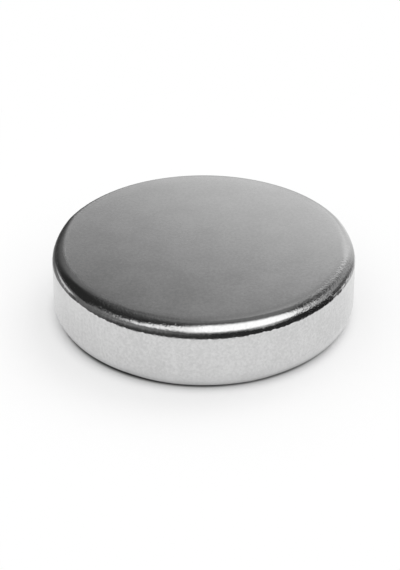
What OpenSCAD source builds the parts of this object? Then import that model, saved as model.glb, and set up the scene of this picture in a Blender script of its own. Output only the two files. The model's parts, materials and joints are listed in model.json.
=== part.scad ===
// Disc magnet: one solid round of sintered magnet metal with a thin bright plate on it.
// It lies on its lower face. The origin is the centre of that face and +Z is up.
// Both faces are flat, the side is a true cylinder, and a small round joins them at each edge.

/* [Disc] */
// Diameter across the cylindrical side
disc_d = 12; // [6:0.5:40]
// Thickness from the lower flat face to the upper one
disc_t = 3; // [1.5:0.1:10]

/* [Edges] */
// Radius of the tumbled round where the lower face meets the side
lower_edge_r = 0.5; // [0.1:0.05:0.7]
// Radius of the tumbled round where the upper face meets the side
upper_edge_r = 0.5; // [0.1:0.05:0.7]

/* [Hidden] */
// Names of the solids that make up the part
// Sides of a full turn of the disc, and of an edge round's own circle
turn_fn = 360;
edge_fn = 96;
// Sizes are held to this step, so that an inch size such as 1/64 leaves no gap or lip
// where a round meets the face or the side
size_step = 0.001;
function on_step(size) = round(size / size_step) * size_step;
// Radius of the side, thickness, and radii of the two edge rounds
disc_r = on_step(disc_d) / 2;
thick = on_step(disc_t);
lower_r = on_step(lower_edge_r);
upper_r = on_step(upper_edge_r);
// Heights of the centres of the two edge rounds
lower_z = lower_r;
upper_z = thick - upper_r;

// One edge of the half section: a strip as high as the edge's round, from the axis out to it.
// The flat face ends where the round starts, and the round ends tangent to the side.
module edge_strip(centre_z, round_r) {
    flat_r = disc_r - round_r;
    translate([0, centre_z - round_r])
        square([flat_r, 2 * round_r]);
    translate([flat_r, centre_z])
        circle(r = round_r, $fn = edge_fn);
}

// Half of the disc's section: both edges, and the straight wall between their rounds
module half_section() {
    edge_strip(lower_z, lower_r);
    edge_strip(upper_z, upper_r);
    translate([0, lower_z])
        square([disc_r, upper_z - lower_z]);
}

module magnet() {
    color("silver")
        rotate_extrude($fn = turn_fn)
            half_section();
}

magnet();
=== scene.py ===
"""Disc magnet: a bright nickel-plated round with tumbled edges, lying on a pale studio floor.

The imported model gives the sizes. One fine lathed shell stands for its solid, dressed in a plated
finish, and a small studio of softboxes, flags and mats gives the metal something to reflect.
"""

import json
import logging
import math
from dataclasses import dataclass, field
from enum import Enum
from typing import Iterator, Sequence

import bpy
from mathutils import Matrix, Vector, noise

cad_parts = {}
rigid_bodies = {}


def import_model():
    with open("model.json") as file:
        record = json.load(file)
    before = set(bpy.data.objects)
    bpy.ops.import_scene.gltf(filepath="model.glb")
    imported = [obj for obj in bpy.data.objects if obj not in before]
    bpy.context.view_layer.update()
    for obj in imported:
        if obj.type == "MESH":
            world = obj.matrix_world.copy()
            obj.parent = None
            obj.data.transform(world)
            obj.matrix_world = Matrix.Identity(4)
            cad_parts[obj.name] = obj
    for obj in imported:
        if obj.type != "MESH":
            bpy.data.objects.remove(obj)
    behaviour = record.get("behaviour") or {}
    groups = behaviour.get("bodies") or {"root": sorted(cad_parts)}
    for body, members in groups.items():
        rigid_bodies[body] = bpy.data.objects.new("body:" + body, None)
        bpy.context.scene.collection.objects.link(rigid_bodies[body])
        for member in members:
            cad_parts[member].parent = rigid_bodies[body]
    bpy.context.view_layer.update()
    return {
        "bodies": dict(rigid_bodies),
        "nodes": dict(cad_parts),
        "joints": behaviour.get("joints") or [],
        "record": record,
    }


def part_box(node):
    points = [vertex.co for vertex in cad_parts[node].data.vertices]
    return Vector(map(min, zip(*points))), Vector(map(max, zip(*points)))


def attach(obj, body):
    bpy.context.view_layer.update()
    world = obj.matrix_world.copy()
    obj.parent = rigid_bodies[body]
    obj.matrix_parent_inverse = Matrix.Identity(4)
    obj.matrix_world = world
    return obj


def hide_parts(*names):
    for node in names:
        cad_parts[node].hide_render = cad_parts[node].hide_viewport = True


LOG = logging.getLogger("disc_magnet")
MM = 0.001
MICRON = 0.001 * MM
# The part of a stretch's half width over which the stretch is at its full strength
WHOLE_PART = 0.4

SocketValue = float | Sequence[float] | bpy.types.NodeSocket


def smoothstep(low: float, high: float, value: float) -> float:
    """Rises smoothly from 0 to 1 as a value goes from one limit to the other.

    Args:
        low: The value at which the step leaves 0.
        high: The value at which the step reaches 1.
        value: The value to step on.

    Returns:
        The step's height, from 0 to 1.
    """
    share = min(1.0, max(0.0, (value - low) / (high - low)))
    return share * share * (3.0 - 2.0 * share)


def heading(azimuth: float) -> Vector:
    """Points level from the axis: 0 degrees is the camera's side, and 90 the +X side."""
    turn = math.radians(azimuth)
    return Vector((math.sin(turn), -math.cos(turn), 0.0))


def aimed(azimuth: float, elevation: float) -> Vector:
    """Points from the disc to a place in the studio, both angles being in degrees."""
    rise = math.radians(elevation)
    return heading(azimuth) * math.cos(rise) + Vector((0.0, 0.0, math.sin(rise)))


class Wire:
    """A number in a shader: a socket that can be added, multiplied and compared."""

    def __init__(self, graph: "Graph", socket: bpy.types.NodeSocket) -> None:
        """Keeps the graph that owns the socket, so that sums can add their nodes to it."""
        self.graph = graph
        self.socket = socket

    def _math(self, operation: str, first: "Wire | float", second: "Wire | float") -> "Wire":
        """Adds one Math node.

        Args:
            operation: The Math node's operation.
            first: The value for its first socket.
            second: The value for its second socket.

        Returns:
            The node's result.
        """
        return self.graph.wire("ShaderNodeMath", 0, {"operation": operation}, {0: first, 1: second})

    def __add__(self, other: "Wire | float") -> "Wire":
        """This value plus another."""
        return self._math("ADD", self, other)

    __radd__ = __add__

    def __sub__(self, other: "Wire | float") -> "Wire":
        """This value less another."""
        return self._math("SUBTRACT", self, other)

    def __rsub__(self, other: float) -> "Wire":
        """A number less this value."""
        return self._math("SUBTRACT", other, self)

    def __mul__(self, other: "Wire | float") -> "Wire":
        """This value times another."""
        return self._math("MULTIPLY", self, other)

    __rmul__ = __mul__

    def __abs__(self) -> "Wire":
        """This value without its sign."""
        return self._math("ABSOLUTE", self, 0.0)

    def larger(self, other: "Wire | float") -> "Wire":
        """The larger of this value and another."""
        return self._math("MAXIMUM", self, other)

    def step(self, low: float, high: float) -> "Wire":
        """A smooth rise from 0 to 1 as this value goes from one limit to the other.

        Args:
            low: The value at which the rise leaves 0.
            high: The value at which the rise reaches 1.

        Returns:
            The height of the rise.
        """
        return self.graph.wire(
            "ShaderNodeMapRange",
            "Result",
            {"interpolation_type": "SMOOTHSTEP"},
            {"Value": self, "From Min": low, "From Max": high},
        )


class Graph:
    """A node tree with one way to add a node."""

    def __init__(self, tree: bpy.types.NodeTree) -> None:
        """Takes a tree and empties it."""
        self.tree = tree
        tree.nodes.clear()

    def node(
        self,
        kind: str,
        output: str | int,
        settings: dict[str, object] | None = None,
        sockets: dict[str | int, "SocketValue | Wire"] | None = None,
    ) -> bpy.types.NodeSocket:
        """Adds a node of any kind.

        Args:
            kind: The node's type name.
            output: The name or place of the output that is wanted.
            settings: Its properties, which are set first because they choose its sockets.
            sockets: A value or a link for each input, by its name or its place.

        Returns:
            The output socket.
        """
        made = self.tree.nodes.new(kind)
        for name, value in (settings or {}).items():
            setattr(made, name, value)
        for key, value in (sockets or {}).items():
            self._plug(self._socket(made.inputs, key), value)
        return self._socket(made.outputs, output)

    def wire(self, kind: str, output: str | int, *args: dict) -> Wire:
        """Adds a node and gives one of its outputs as a number."""
        return Wire(self, self.node(kind, output, *args))

    def finish(self, kind: str, surface: bpy.types.NodeSocket) -> None:
        """Adds the output node of a material or a world and links its surface."""
        made = self.tree.nodes.new(kind)
        self.tree.links.new(surface, made.inputs["Surface"])

    def _socket(
        self, sockets: Sequence[bpy.types.NodeSocket], key: str | int
    ) -> bpy.types.NodeSocket:
        """Finds the socket in use that has a name, or the one at a place.

        Args:
            sockets: A node's inputs or its outputs.
            key: The socket's name or place.

        Returns:
            The socket.
        """
        if isinstance(key, int):
            return sockets[key]
        return next(socket for socket in sockets if socket.name == key and socket.enabled)

    def _plug(self, socket: bpy.types.NodeSocket, value: "SocketValue | Wire") -> None:
        """Links an input to a socket, or sets its own value.

        Args:
            socket: The input.
            value: A wire or a socket to link, or a number or a list of numbers to set.
        """
        if isinstance(value, Wire):
            value = value.socket
        if isinstance(value, bpy.types.NodeSocket):
            self.tree.links.new(value, socket)
        else:
            socket.default_value = value


def new_material(name: str) -> tuple[bpy.types.Material, Graph]:
    """Makes a material with an empty node tree.

    Args:
        name: The material's name.

    Returns:
        The material and its graph.
    """
    material = bpy.data.materials.new(name)
    material.use_nodes = True
    return material, Graph(material.node_tree)


def new_object(name: str, data: bpy.types.ID | None) -> bpy.types.Object:
    """Makes an object in the scene from a mesh, a lamp or a camera.

    Args:
        name: The object's name.
        data: What the object shows.

    Returns:
        The object.
    """
    made = bpy.data.objects.new(name, data)
    bpy.context.scene.collection.objects.link(made)
    return made


class Edge(Enum):
    """The two tumbled edges of the disc, by the side of it that they are on."""

    LOWER = -1
    UPPER = 1


@dataclass(frozen=True)
class EdgeStretch:
    """A stretch of an edge that stands out from the rest of it. Angles are in degrees."""

    edge: Edge
    azimuth: float
    half_width: float
    strength: float

    def share(self, azimuth: float) -> float:
        """Tells how strong the stretch is at an azimuth.

        Args:
            azimuth: Where on the edge.

        Returns:
            The stretch's strength there, which fades to 0 at its ends.
        """
        away = abs((azimuth - self.azimuth + 180.0) % 360.0 - 180.0)
        fading = smoothstep(WHOLE_PART * self.half_width, self.half_width, away)
        return self.strength * (1.0 - fading)


def total_share(stretches: Sequence[EdgeStretch], edge: Edge, azimuth: float) -> float:
    """Adds up the strengths of the stretches of one edge at an azimuth."""
    return sum(stretch.share(azimuth) for stretch in stretches if stretch.edge is edge)


# Where tumbling left an edge rougher than elsewhere
ROUGH = (
    EdgeStretch(Edge.UPPER, 57.0, 28.0, 1.0),
    EdgeStretch(Edge.UPPER, -16.0, 12.0, 0.45),
    EdgeStretch(Edge.UPPER, -36.0, 14.0, 0.8),
    EdgeStretch(Edge.UPPER, 4.0, 9.0, 0.2),
    EdgeStretch(Edge.UPPER, 138.0, 20.0, 0.5),
    EdgeStretch(Edge.UPPER, -128.0, 24.0, 0.6),
    EdgeStretch(Edge.LOWER, 22.0, 18.0, 0.5),
    EdgeStretch(Edge.LOWER, -95.0, 20.0, 0.7),
    EdgeStretch(Edge.LOWER, 160.0, 24.0, 0.7),
)
# Where the ground side cuts deeper into the tumbled round
CUT_DEEPER = (
    EdgeStretch(Edge.UPPER, 80.0, 80.0, 1.0),
    EdgeStretch(Edge.UPPER, -80.0, 55.0, 1.0),
    EdgeStretch(Edge.UPPER, -170.0, 40.0, 0.6),
    EdgeStretch(Edge.LOWER, 140.0, 70.0, 0.8),
    EdgeStretch(Edge.LOWER, -60.0, 50.0, 0.6),
)
# Where an edge was tumbled less, and is keener
KEENER = (
    EdgeStretch(Edge.UPPER, 180.0, 86.0, 0.6),
    EdgeStretch(Edge.LOWER, -150.0, 60.0, 0.2),
)
# Where an edge was tumbled more, and is duller
DULLER = (
    EdgeStretch(Edge.LOWER, -46.0, 34.0, 0.12),
    EdgeStretch(Edge.LOWER, 50.0, 34.0, 0.12),
)


@dataclass(frozen=True)
class NickelPlate:
    """A bright nickel plate: satin on the faces, faintly lined on the side, keen on the edges.

    Lengths are in millimetres. The fades are shares of an edge's reach, counted in from the side,
    or of its rise, counted away from the flat face. The wear is how much each noise adds to the
    tint, and the haze how much it adds to the roughness.
    """

    name: str = "nickel_plate"
    tint: tuple[float, float, float, float] = (0.68, 0.68, 0.68, 1.0)
    shade: tuple[float, float, float, float] = (0.585, 0.585, 0.585, 1.0)
    face_roughness: float = 0.18
    side_roughness: float = 0.2
    edge_roughness: float = 0.1
    cloud_size: float = 1.5
    grain_size: float = 0.11
    streak_size: float = 0.2
    streak_stretch: float = 7.0
    nub_size: float = 0.085
    nub_stretch: float = 1.3
    grain_depth: float = 0.00008
    streak_depth: float = 0.0003
    nub_depth: float = 0.019
    detail: float = 3.0
    nub_detail: float = 2.0
    face_fade: tuple[float, float] = (1.0, 0.2)
    side_fade: tuple[float, float] = (0.8, 0.72)
    nub_reach_fade: tuple[float, float] = (0.92, 0.6)
    nub_rise_fade: tuple[float, float] = (0.54, 0.38)
    cloud_wear: float = 0.45
    grain_wear: float = 0.55
    side_cloud_wear: float = 0.3
    side_streak_wear: float = 0.2
    side_grain_wear: float = 0.8
    side_spared: float = 0.15
    wear_range: tuple[float, float] = (0.3, 0.7)
    cloud_haze: float = 0.06
    grain_haze: float = 0.05
    least_rough: float = 0.08
    edge_heights: tuple[float, float] = (1.0, 2.0)

    def material(self, disc: "MagnetDisc") -> bpy.types.Material:
        """Makes the plate's material for a disc.

        Args:
            disc: The disc, whose sizes say where its faces, side and edges are.

        Returns:
            The material.
        """
        material, graph = new_material(self.name)
        place = graph.node("ShaderNodeTexCoord", "Object")
        point = self._scaled(graph, place, (1 / MM, 1 / MM, 1 / MM))
        flat = self._scaled(graph, point, (1.0, 1.0, 0.0))
        reach = graph.wire("ShaderNodeVectorMath", "Value", {"operation": "LENGTH"}, {0: flat})
        height = graph.wire("ShaderNodeSeparateXYZ", "Z", {}, {0: point})
        radius, half = disc.radius / MM, disc.thickness / MM / 2
        wide, tall = disc.edge_reach / MM, disc.edge_rise / MM
        off_face = reach.step(*(radius - share * wide for share in self.face_fade))
        off_side = abs(height - half).step(*(half - share * tall for share in self.side_fade))
        edge = off_face * off_side
        side = 1.0 - off_side
        rim = (
            reach.step(*(radius - share * wide for share in self.nub_reach_fade))
            * abs(height - half).step(*(half - share * tall for share in self.nub_rise_fade))
        )

        clouds = self._noise(graph, point, self.cloud_size, self.detail)
        grain = self._noise(graph, point, self.grain_size, self.detail)
        drawn_out = self._scaled(graph, point, (1.0, 1.0, 1.0 / self.streak_stretch))
        streaks = self._noise(graph, drawn_out, self.streak_size, self.detail)
        outward = graph.node("ShaderNodeVectorMath", 0, {"operation": "NORMALIZE"}, {0: flat})
        circle = self._scaled(graph, outward, (radius, radius, 0.0))
        along = graph.node(
            "ShaderNodeCombineXYZ", 0, {}, {"Z": (height - reach) * (1.0 / self.nub_stretch)}
        )
        drawn_in = graph.node("ShaderNodeVectorMath", 0, {"operation": "ADD"}, {0: circle, 1: along})
        nubs = self._noise(graph, drawn_in, self.nub_size, self.nub_detail)

        worn = self.cloud_wear * clouds + self.grain_wear * grain
        side_worn = (
            self.side_cloud_wear * clouds
            + self.side_streak_wear * streaks
            + self.side_grain_wear * grain
            - self.side_spared
        )
        lined = worn * off_side + side * side_worn
        colour = graph.node(
            "ShaderNodeMix",
            "Result",
            {"data_type": "RGBA"},
            {"Factor": lined.step(*self.wear_range), "A": self.shade, "B": self.tint},
        )
        haze = (clouds - 0.5) * self.cloud_haze + (grain - 0.5) * self.grain_haze
        roughness = (
            self.face_roughness * (1.0 - off_face)
            + self.side_roughness * side
            + self.edge_roughness * edge
            + haze
        )
        relief = (
            grain * self.grain_depth
            + streaks * side * self.streak_depth
            + nubs * rim * self._rough(graph, outward, height) * self.nub_depth
        )
        normal = graph.node(
            "ShaderNodeBump", "Normal", {}, {"Strength": 1.0, "Distance": MM, "Height": relief}
        )
        metal = graph.node(
            "ShaderNodeBsdfPrincipled",
            "BSDF",
            {},
            {"Base Color": colour, "Metallic": 1.0, "Roughness": roughness, "Normal": normal},
        )
        graph.finish("ShaderNodeOutputMaterial", metal)
        return material

    def _scaled(
        self, graph: Graph, vector: bpy.types.NodeSocket, by: tuple[float, float, float]
    ) -> bpy.types.NodeSocket:
        """Multiplies a vector by three numbers."""
        return graph.node("ShaderNodeVectorMath", 0, {"operation": "MULTIPLY"}, {0: vector, 1: by})

    def _noise(
        self, graph: Graph, vector: bpy.types.NodeSocket, size: float, detail: float
    ) -> Wire:
        """Adds a noise whose spots are about a size across.

        Args:
            graph: The material's graph.
            vector: Where the noise is read, in millimetres.
            size: The spots' size, in millimetres.
            detail: How many finer layers are laid over it.

        Returns:
            The noise, from 0 to 1 and mostly near the middle.
        """
        return graph.wire(
            "ShaderNodeTexNoise", 0, {}, {"Vector": vector, "Scale": 1.0 / size, "Detail": detail}
        )

    def _rough(self, graph: Graph, outward: bpy.types.NodeSocket, height: Wire) -> Wire:
        """Tells how rough each place of the edges is.

        Args:
            graph: The material's graph.
            outward: The way out from the axis at the place.
            height: The place's height, in millimetres.

        Returns:
            The roughness, from 0 to 1.
        """
        upper = height.step(*self.edge_heights)
        on_edge = {Edge.UPPER: upper, Edge.LOWER: 1.0 - upper}
        rough = {edge: share * self.least_rough for edge, share in on_edge.items()}
        for stretch in ROUGH:
            ahead = graph.wire(
                "ShaderNodeVectorMath",
                "Value",
                {"operation": "DOT_PRODUCT"},
                {0: outward, 1: heading(stretch.azimuth)},
            )
            limit = math.cos(math.radians(stretch.half_width))
            whole = math.cos(math.radians(WHOLE_PART * stretch.half_width))
            rough[stretch.edge] = rough[stretch.edge].larger(
                ahead.step(limit, whole) * on_edge[stretch.edge] * stretch.strength
            )
        return rough[Edge.UPPER] + rough[Edge.LOWER]


@dataclass(frozen=True)
class TumbledRelief:
    """The fine unevenness of a tumbled edge. Sizes are in metres, round the disc and across it.

    The fades say between which shares of the way from the side to the flat face something grows
    or dies away.
    """

    cut: float = 8.6 * MICRON
    least_cut_share: float = 0.3
    deeper_cut: float = 15.0 * MICRON
    line_size: float = 0.11 * MM
    line_depth: float = 8.5 * MICRON
    drift_size: float = 0.7 * MM
    drift_depth: float = 2.6 * MICRON
    wave_size: float = 0.34 * MM
    wave_depth: float = 1.1 * MICRON
    nub_size: float = 0.085 * MM
    nub_stretch: float = 1.1
    nub_depth: float = 7.0 * MICRON
    least_rough: float = 0.06
    ragged_fade: tuple[float, float] = (0.0, 0.22)
    cut_fade: tuple[float, float] = (0.65, 1.0)
    rise_start: tuple[float, float] = (0.26, 0.42)
    rise_end: tuple[float, float] = (0.55, 0.9)

    def even_cut(self, deeper: float) -> float:
        """How deep the side cuts into the round, where it's ground so much deeper than usual."""
        return self.cut + self.deeper_cut * deeper

    def ragged_cut(self, on_edge: Vector, deeper: float) -> float:
        """Tells how deep the ground side cuts into the tumbled round, with its ragged line.

        Args:
            on_edge: The place on the edge's own circle.
            deeper: How much deeper than usual the side is ground there, from 0 to 1.

        Returns:
            The depth, which is never nothing.
        """
        fine = noise.noise(on_edge / self.line_size) * self.line_depth
        drift = noise.noise(on_edge / self.drift_size) * self.drift_depth
        return max(self.least_cut_share * self.cut, self.even_cut(deeper) + fine + drift)

    def rise(self, on_edge: Vector, along: float, rough: float) -> float:
        """Tells how far the tumbled face stands out at a place, or is dished if it's negative.

        Args:
            on_edge: The place on the edge's own circle.
            along: How far across the edge the place is from the ground side.
            rough: How rough the edge is there.

        Returns:
            The distance.
        """
        wave = noise.noise((on_edge + Vector((0.0, 0.0, along))) / self.wave_size)
        drawn_out = on_edge + Vector((0.0, 0.0, along / self.nub_stretch))
        nub = noise.noise(drawn_out / self.nub_size)
        return wave * self.wave_depth + nub * rough * self.nub_depth


@dataclass
class MagnetDisc:
    """The magnet: one solid disc with flat faces, a ground side and tumbled edges.

    Lengths are in metres. The tumbled face runs softly into the flat one, and the ground side
    cuts it off at a fine ragged line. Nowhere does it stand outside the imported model's box.
    """

    node: str = "magnet"
    slot: str = "plate"
    body: str = "root"
    radius: float = 0.0
    thickness: float = 0.0
    edge_round: float = 0.0
    wide_factor: float = 1.2
    tall_factor: float = 1.72
    squareness: float = 2.4
    turn_steps: int = 1920
    lower_steps: int = 9
    upper_steps: int = 23
    face_rings: tuple[float, ...] = (0.9, 0.92, 0.94, 0.96, 0.98)
    keenest: float = 0.18
    fall_reach: float = 1.0 * MM
    fall_depth: float = 22.0 * MICRON
    crisp_share: float = 0.012
    crisp_wall: float = 6.0 * MICRON
    wall_rings: tuple[float, ...] = (0.12, 0.5, 0.88)
    relief: TumbledRelief = field(default_factory=TumbledRelief)

    @classmethod
    def from_frame(cls, frame: dict) -> "MagnetDisc":
        """Reads the disc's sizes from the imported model.


        Returns:
            The disc.
        """
        low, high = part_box(cls.node)
        radius = min(high[0], high[1], -low[0], -low[1])
        rim = next(m for m in frame["record"]["mounts"] if m["name"] == "rim")
        thickness = high[2] - low[2]
        return cls(
            radius=radius,
            thickness=thickness,
            edge_round=(thickness - rim["dims"]["length_mm"] * MM) / 2,
        )

    @property
    def edge_reach(self) -> float:
        """How far in from the side the tumbled face would reach if the side didn't cut it."""
        return self.edge_round * self.wide_factor

    @property
    def edge_rise(self) -> float:
        """How far from the flat face the tumbled face would reach if the side didn't cut it."""
        return self.edge_round * self.tall_factor

    def build(self, plate: NickelPlate) -> bpy.types.Object:
        """Makes the disc's shell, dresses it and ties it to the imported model.

        Args:
            plate: The finish.

        Returns:
            The disc's object.
        """
        columns = [self._column(360.0 * step / self.turn_steps) for step in range(self.turn_steps)]
        rings = len(columns[0])
        points = [column[ring] for ring in range(rings) for column in columns]
        tips = len(points), len(points) + 1
        points += [Vector((0.0, 0.0, 0.0)), Vector((0.0, 0.0, self.thickness))]
        mesh = bpy.data.meshes.new("magnet_shell")
        mesh.from_pydata(points, [], list(self._faces(rings, *tips)))
        mesh.shade_smooth()
        mesh.materials.append(plate.material(self))
        piece = new_object("magnet_shell", mesh)
        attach(piece, self.body)
        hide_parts(self.node)
        return piece

    def _column(self, azimuth: float) -> list[Vector]:
        """Goes down one half section, from inside the lower face round to the upper one.

        Args:
            azimuth: Which half section, in degrees.

        Returns:
            The column's points.
        """
        outward = heading(azimuth)
        flat = self.radius - self.edge_reach
        lower = list(self._corner(Edge.LOWER, azimuth, outward))
        upper = list(self._corner(Edge.UPPER, azimuth, outward))
        top = Vector((0.0, 0.0, self.thickness))
        face = [(outward * flat * share, self._fall(flat * share)) for share in self.face_rings]
        column = [point + fall for point, fall in face]
        column += lower[::-1]
        column += self._wall(lower[0], upper[0])
        column += upper
        column += [point + top - fall for point, fall in reversed(face)]
        return column

    def _fall(self, reach: float) -> Vector:
        """How far a face has softly fallen away at a distance from the axis, as a step up."""
        share = max(0.0, 1.0 - (self.radius - reach) / self.fall_reach)
        return Vector((0.0, 0.0, self.fall_depth * share * share))

    def _wall(self, low: Vector, high: Vector) -> list[Vector]:
        """Fills the side between the two ragged lines, with a ring close to each of them."""
        close = self.crisp_wall / (high.z - low.z)
        return [low.lerp(high, share) for share in (close, *self.wall_rings, 1.0 - close)]

    def _corner(self, edge: Edge, azimuth: float, outward: Vector) -> Iterator[Vector]:
        """Goes along one tumbled edge, from the side's cut to the flat face.

        Args:
            edge: Which edge.
            azimuth: Which half section, in degrees.
            outward: That half section's way out from the axis.

        Yields:
            The points.
        """
        on_edge = outward * self.radius + Vector((0.0, 0.0, edge.value * self.thickness))
        relief = self.relief
        rough = relief.least_rough + total_share(ROUGH, edge, azimuth)
        deeper = total_share(CUT_DEEPER, edge, azimuth)
        size = 1.0 - min(self.keenest, total_share(KEENER, edge, azimuth))
        size += total_share(DULLER, edge, azimuth)
        wide = self.edge_reach * size
        tall = self.edge_rise * size
        even = relief.even_cut(deeper)
        ragged = relief.ragged_cut(on_edge, deeper)
        steps = self.upper_steps if edge is Edge.UPPER else self.lower_steps
        power = 2.0 / self.squareness
        cut = (1.0 - ragged / wide) ** self.squareness
        start = math.atan2(math.sqrt(1.0 - cut), math.sqrt(cut))
        for share in [0.0, self.crisp_share] + [step / steps for step in range(1, steps + 1)]:
            turn = start + (math.pi / 2 - start) * share
            reach = math.cos(turn) ** power * wide if share < 1.0 else 0.0
            height = math.sin(turn) ** power * tall - tall
            shift = even + (ragged - even) * (1.0 - smoothstep(*relief.ragged_fade, share))
            reach += self.radius - wide + shift * (1.0 - smoothstep(*relief.cut_fade, share))
            hold = smoothstep(*relief.rise_start, share) * (1.0 - smoothstep(*relief.rise_end, share))
            along = share * (wide + tall)
            rise = relief.rise(on_edge, along, rough) * hold
            reach = min(reach + rise * math.cos(turn), self.radius)
            point = outward * reach - self._fall(reach)
            point.z += height + rise * math.sin(turn) + self.thickness / 2
            point.z = self.thickness / 2 + edge.value * min(point.z, self.thickness / 2)
            yield point

    def _faces(self, rings: int, tip_low: int, tip_high: int) -> Iterator[tuple[int, ...]]:
        """Joins the rings into faces that look outwards.

        Args:
            rings: How many rings of points there are.
            tip_low: The point in the middle of the lower face.
            tip_high: The point in the middle of the upper face.

        Yields:
            Each face's points.
        """
        turn = self.turn_steps
        last = (rings - 1) * turn
        for step in range(turn):
            after = (step + 1) % turn
            yield tip_low, after, step
            for ring in range(rings - 1):
                base = ring * turn
                yield base + step, base + after, base + turn + after, base + turn + step
            yield last + step, last + after, tip_high


@dataclass(frozen=True)
class Span:
    """A range of azimuths, elevations or distances, with a soft stretch inside each end."""

    start: float
    end: float
    soft_start: float = 0.0
    soft_end: float = 0.0

    def at(self, share: float) -> float:
        """The value a share of the way along."""
        return self.start + share * (self.end - self.start)

    def share(self, value: float) -> float:
        """How far along a value is, held from 0 to 1."""
        return min(1.0, max(0.0, (value - self.start) / (self.end - self.start)))

    def cover(self, value: float) -> float:
        """How whole the range is at one of its values.

        Args:
            value: The value.

        Returns:
            From 0 at a soft end to 1 in the middle.
        """
        rise = smoothstep(0.0, self.soft_start, value - self.start) if self.soft_start else 1.0
        fall = smoothstep(0.0, self.soft_end, self.end - value) if self.soft_end else 1.0
        return rise * fall


@dataclass(frozen=True)
class Card:
    """A studio card that only the metal's reflections see: a softbox, a flag or a mat.

    It is a patch between two azimuths and two reaches. Its four glows are those at the start and
    the end of its azimuths on its near reach, and the same on its far reach; they hold at the
    corners of its ramp, which is the whole card unless it has its own.
    """

    name: str
    azimuths: Span
    reaches: Span
    glows: tuple[float, float, float, float]
    ramp: tuple[Span, Span] | None = None
    glow_limit: float = math.inf
    columns: int = 96
    rows: int = 48
    crowding: float = 1.0

    def place(self, azimuth: float, reach: float, layer: int) -> Vector:
        """Gives the card's point at an azimuth and a reach; each kind of card has its own."""
        raise NotImplementedError

    def build(self, face: bpy.types.Material, layer: int) -> bpy.types.Object:
        """Makes the card.

        Args:
            face: The material of all the cards.
            layer: The card's place in the stack, 0 being the one in front.

        Returns:
            The card's object, which only glossy rays see.
        """
        points, cover, glow = [], [], []
        for row in range(self.rows + 1):
            reach = self.reaches.at((row / self.rows) ** self.crowding)
            for column in range(self.columns + 1):
                azimuth = self.azimuths.at(column / self.columns)
                points.append(self.place(azimuth, reach, layer))
                cover.append(self.azimuths.cover(azimuth) * self.reaches.cover(reach))
                glow.append(self._glow(azimuth, reach))
        mesh = bpy.data.meshes.new(self.name)
        mesh.from_pydata(points, [], list(self._faces()))
        for name, values in (("cover", cover), ("glow", glow)):
            mesh.attributes.new(name, "FLOAT", "POINT").data.foreach_set("value", values)
        mesh.materials.append(face)
        made = new_object(self.name, mesh)
        for ray in ("camera", "diffuse", "transmission", "volume_scatter", "shadow"):
            setattr(made, f"visible_{ray}", False)
        return made

    def _glow(self, azimuth: float, reach: float) -> float:
        """Blends the four glows.

        Args:
            azimuth: Where on the card.
            reach: Where on the card.

        Returns:
            The glow there.
        """
        across, along = self.ramp or (self.azimuths, self.reaches)
        right, far = across.share(azimuth), along.share(reach)
        near_start, near_end, far_start, far_end = self.glows
        near = near_start + right * (near_end - near_start)
        glow = near + far * (far_start + right * (far_end - far_start) - near)
        return min(glow, self.glow_limit)

    def _faces(self) -> Iterator[tuple[int, int, int, int]]:
        """Joins the card's points into faces."""
        wide = self.columns + 1
        for row in range(self.rows):
            for column in range(self.columns):
                first = row * wide + column
                yield first, first + 1, first + wide + 1, first + wide


@dataclass(frozen=True)
class DomeCard(Card):
    """A card on a dome round the disc. Its reach is the elevation, in degrees."""

    dome_radius: float = 0.5
    layer_gap: float = 0.005

    def place(self, azimuth: float, reach: float, layer: int) -> Vector:
        """Gives the dome's point at an azimuth and an elevation."""
        return aimed(azimuth, reach) * (self.dome_radius + self.layer_gap * layer)


@dataclass(frozen=True)
class PanelCard(DomeCard):
    """A card on the dome that has the outline of a flat upright panel.

    Its reach is the elevation that the panel has at the azimuth it faces, so its top edge falls
    away to both sides.
    """

    facing: float = 0.0

    def place(self, azimuth: float, reach: float, layer: int) -> Vector:
        """Gives the dome's point behind a point of the panel."""
        rise = math.tan(math.radians(reach)) * math.cos(math.radians(azimuth - self.facing))
        return super().place(azimuth, math.degrees(math.atan(rise)), layer)


@dataclass(frozen=True)
class FloorMat(Card):
    """A card that lies on the floor. Its reach is the distance from its middle, in millimetres."""

    lift: float = 0.09 * MM
    layer_gap: float = 0.004 * MM
    middle: tuple[float, float] = (0.0, -2.0)
    crowding: float = 2.0

    def place(self, azimuth: float, reach: float, layer: int) -> Vector:
        """Gives the floor's point at an azimuth and a distance."""
        middle = Vector((*self.middle, 0.0))
        point = (middle + heading(azimuth) * reach) * MM
        point.z = self.lift - self.layer_gap * layer
        return point


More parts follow.
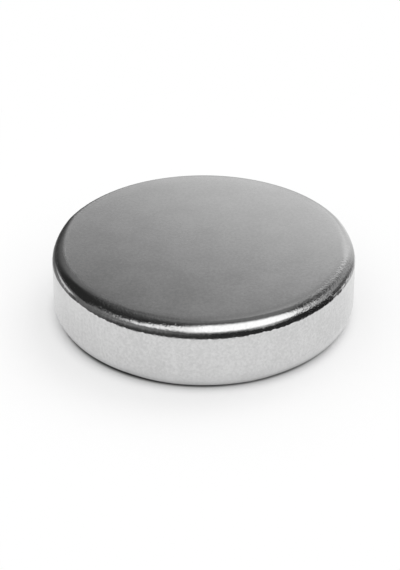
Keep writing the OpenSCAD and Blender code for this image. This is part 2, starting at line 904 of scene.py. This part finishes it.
# The cards, from the one in front to the one behind. A span gives its start, its end and the soft
# stretch inside each; the four glows are near start, near end, far start and far end.
CARDS = (
    DomeCard("back_board", Span(130, 212, 20, 24), Span(14, 50, 10, 14), (1.15, 0.2, 0.3, 0.01),
             ramp=(Span(168, 206), Span(27, 38)), glow_limit=0.85, dome_radius=0.05),
    DomeCard("low_flag", Span(25, 105, 45, 30), Span(0, 16, 0, 10), (0.04, 0.05, 0.04, 0.05)),
    DomeCard("right_flag", Span(80, 140, 20, 25), Span(0, 10, 0, 8), (0.05, 0.06, 0.05, 0.06)),
    PanelCard("key_softbox", Span(-20, 106, 25, 60), Span(3, 64, 12, 24), (1.6, 1.6, 1.6, 1.6),
              facing=20),
    PanelCard("key_wing", Span(-70, 32, 28, 25), Span(-4, 50, 20, 16), (1.2, 1.2, 1.2, 1.2),
              facing=20),
    DomeCard("left_scrim", Span(-90, -48, 12, 16), Span(0, 20, 0, 12), (0.15, 0.3, 0.15, 0.3)),
    DomeCard("left_back_flag", Span(187, 240, 14, 20), Span(0, 60, 0, 25), (0.08, 0.05, 0.25, 0.15),
             ramp=(Span(187, 240), Span(5, 40))),
    DomeCard("black_flag", Span(-168, 60, 30, 40), Span(0, 80, 0, 24), (0.03, 0.03, 0.16, 0.08),
             ramp=(Span(-168, 60), Span(35, 80))),
    DomeCard("right_scrim", Span(60, 150, 14, 14), Span(0, 54, 0, 12), (0.4, 0.42, 0.01, 0.26),
             ramp=(Span(95, 150), Span(15, 36))),
    DomeCard("back_low", Span(138, 206, 12, 12), Span(0, 34, 0, 8), (0.85, 0.5, 0.85, 0.5)),
    DomeCard("back_scrim", Span(112, 230, 34, 20), Span(30, 90, 10, 0), (0.7, 0.0, 0.4, 0.15)),
    DomeCard("overhead_scrim", Span(-180, 180), Span(40, 90, 8, 0), (0.2, 0.2, 0.2, 0.2)),
    FloorMat("left_glint", Span(-130, -95, 18, 8), Span(14, 33, 3, 14), (0.8, 0.85, 0.8, 0.85)),
    FloorMat("left_stripe", Span(-101, -90, 5, 5), Span(11, 18, 2, 4), (0.06, 0.06, 0.06, 0.06)),
    FloorMat("front_mat", Span(-62, 76, 20, 16), Span(9.6, 480, 0.8, 60), (0.05, 0.03, 0.3, 0.03),
             ramp=(Span(-62, 10), Span(12, 32))),
    FloorMat("right_mat", Span(50, 131, 14, 12), Span(11.6, 480, 1.2, 60), (0.02, 0.18, 0.02, 0.05),
             ramp=(Span(92, 114), Span(14, 28))),
    FloorMat("back_right_mat", Span(108, 164, 16, 14), Span(9.6, 480, 2, 60), (0.2, 1.0, 0.1, 0.75),
             ramp=(Span(116, 152), Span(14, 60))),
    FloorMat("left_mat", Span(-120, -30, 12, 12), Span(9.6, 480, 0.8, 60), (0.32, 0.02, 0.1, 0.28),
             ramp=(Span(-120, -60), Span(10, 26))),
    FloorMat("back_left_mat", Span(-176, -100, 10, 12), Span(7.9, 480, 3, 60), (0.2, 0.25, 0.05, 0.08),
             ramp=(Span(-176, -100), Span(8, 20))),
    FloorMat("back_mat", Span(150, 200, 14, 10), Span(9.2, 480, 0.8, 60), (0.6, 0.5, 0.6, 0.5)),
)


@dataclass(frozen=True)
class Studio:
    """The floor, the world, the lamp and the cards round the disc. Lengths are in metres. The floor has
    a painted contact shadow: it is painted dark under the disc's edge.
    """

    floor_radius: float = 3.0
    floor_steps: int = 96
    floor_colour: tuple[float, float, float, float] = (0.93, 0.93, 0.93, 1.0)
    # Painted shade: the floor is painted dark inside these distances from its middle, a painted contact
    # shadow under the disc's edge
    painted_contact_shade_colour: tuple[float, float, float, float] = (0.08, 0.08, 0.08, 1.0)
    painted_contact_shade_reach: tuple[float, float] = (5.56 * MM, 5.78 * MM)
    contact: float = 5.65 * MM
    near_floor: float = 6.35 * MM
    # Shifts the middle of the painted contact shadow and of the white lift to the left, so the floor is
    # painted darker on the left than on the right
    shade_shift: tuple[float, float, float] = (0.06 * MM, 0.0, 0.0)
    far_floor: float = 20 * MM
    floor_lift: float = 0.5
    soft_level: float = 0.97
    lamp_power: float = 0.3
    lamp_size: float = 0.25
    lamp_azimuth: float = 140.0
    lamp_elevation: float = 50.0
    lamp_distance: float = 0.4

    def build(self) -> None:
        """Makes the floor, the world, the lamp and the cards."""
        self._floor()
        self._world()
        self._lamp()
        face = self._card_face()
        for layer, card in enumerate(CARDS):
            card.build(face, layer)
        LOG.info("studio: floor, lamp and %d cards", len(CARDS))

    def _background_rays(self, graph: Graph) -> Wire:
        """Picks the rays that see the white background: from the camera, or off metal or glass."""
        seen = graph.wire("ShaderNodeLightPath", "Is Camera Ray")
        for kind in ("Is Glossy Ray", "Is Transmission Ray"):
            seen = seen.larger(graph.wire("ShaderNodeLightPath", kind))
        return seen

    def _floor(self) -> bpy.types.Object:
        """Makes the pale floor, which keeps the disc's shadow, has a painted contact shadow under the
        disc's edge, and is white further out.

        Returns:
            The floor's object.
        """
        material, graph = new_material("pale_floor")
        place = graph.node("ShaderNodeTexCoord", "Object")
        # Painted shade: the shifted middle makes the floor darker on the left side of the disc and
        # lighter on the right
        shifted = graph.node(
            "ShaderNodeVectorMath", 0, {"operation": "ADD"}, {0: place, 1: self.shade_shift}
        )
        reach = graph.wire("ShaderNodeVectorMath", "Value", {"operation": "LENGTH"}, {0: shifted})
        # Painted contact shadow: dark floor paint inside the disc's edge, pale paint further out
        colour = graph.node(
            "ShaderNodeMix",
            "Result",
            {"data_type": "RGBA"},
            {"Factor": reach.step(*self.painted_contact_shade_reach), "A": self.painted_contact_shade_colour, "B": self.floor_colour},
        )
        paint = graph.node("ShaderNodeBsdfDiffuse", 0, {}, {"Color": colour})
        white = graph.node("ShaderNodeEmission", 0, {}, {"Strength": self._background_rays(graph)})
        lift = reach.step(self.contact, self.near_floor) * self.floor_lift
        far = lift + reach.step(self.near_floor, self.far_floor) * (1.0 - self.floor_lift)
        mixed = graph.node("ShaderNodeMixShader", 0, {}, {0: far, 1: paint, 2: white})
        graph.finish("ShaderNodeOutputMaterial", mixed)
        mesh = bpy.data.meshes.new("floor")
        turns = [360.0 * step / self.floor_steps for step in range(self.floor_steps)]
        points = [heading(turn) * self.floor_radius for turn in turns]
        mesh.from_pydata(points, [], [tuple(range(self.floor_steps))])
        mesh.materials.append(material)
        made = new_object("floor", mesh)
        return made

    def _world(self) -> None:
        """Makes the world: soft even light, and white where the background is seen."""
        world = bpy.data.worlds.new("soft_white")
        world.use_nodes = True
        graph = Graph(world.node_tree)
        seen = self._background_rays(graph)
        strength = seen + (1.0 - seen) * self.soft_level
        light = graph.node("ShaderNodeBackground", 0, {}, {"Color": (1, 1, 1, 1), "Strength": strength})
        graph.finish("ShaderNodeOutputWorld", light)
        bpy.context.scene.world = world

    def _lamp(self) -> bpy.types.Object:
        """Makes the soft lamp behind the disc to the right, which gives its faint shadow.

        Returns:
            The lamp's object.
        """
        data = bpy.data.lights.new("soft_lamp", "AREA")
        data.shape = "DISK"
        data.size = self.lamp_size
        data.energy = self.lamp_power
        made = new_object("soft_lamp", data)
        aim = aimed(self.lamp_azimuth, self.lamp_elevation)
        made.location = aim * self.lamp_distance
        made.rotation_euler = aim.to_track_quat("Z", "Y").to_euler()
        made.visible_glossy = False
        return made

    def _card_face(self) -> bpy.types.Material:
        """Makes the cards' material, which glows evenly and fades out at a card's edges.

        Returns:
            The material.
        """
        material, graph = new_material("card_face")
        cover = graph.node("ShaderNodeAttribute", "Fac", {"attribute_name": "cover"})
        glow = graph.node("ShaderNodeAttribute", "Fac", {"attribute_name": "glow"})
        clear = graph.node("ShaderNodeBsdfTransparent", 0)
        light = graph.node("ShaderNodeEmission", 0, {}, {"Strength": glow})
        mixed = graph.node("ShaderNodeMixShader", 0, {}, {0: cover, 1: clear, 2: light})
        graph.finish("ShaderNodeOutputMaterial", mixed)
        material.cycles.emission_sampling = "NONE"
        return material


@dataclass(frozen=True)
class StudioCamera:
    """The camera: a long lens close to the disc, looking down on it. Lengths are in metres."""

    distance: float = 0.0783
    elevation: float = 32.08
    aim: tuple[float, float, float] = (-0.00015, 0.00047, 0.00076)
    lens: float = 122.7
    clip_start: float = 1 * MM
    clip_end: float = 10.0

    def build(self) -> bpy.types.Object:
        """Makes the camera and gives it to the scene.

        Returns:
            The camera's object.
        """
        data = bpy.data.cameras.new("studio_camera")
        data.lens = self.lens
        data.clip_start = self.clip_start
        data.clip_end = self.clip_end
        made = new_object("studio_camera", data)
        made.location = aimed(0.0, self.elevation) * self.distance
        look = Vector(self.aim) - made.location
        made.rotation_euler = look.to_track_quat("-Z", "Y").to_euler()
        bpy.context.scene.camera = made
        return made


def main() -> None:
    """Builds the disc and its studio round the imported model."""
    logging.basicConfig(level=logging.INFO, format="%(name)s: %(message)s")
    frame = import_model()
    StudioCamera().build()
    disc = MagnetDisc.from_frame(frame)
    shell = disc.build(NickelPlate())
    LOG.info("%s: %d faces", shell.name, len(shell.data.polygons))
    Studio().build()
    bpy.context.scene.view_settings.view_transform = "Standard"


if __name__ == "__main__":
    main()
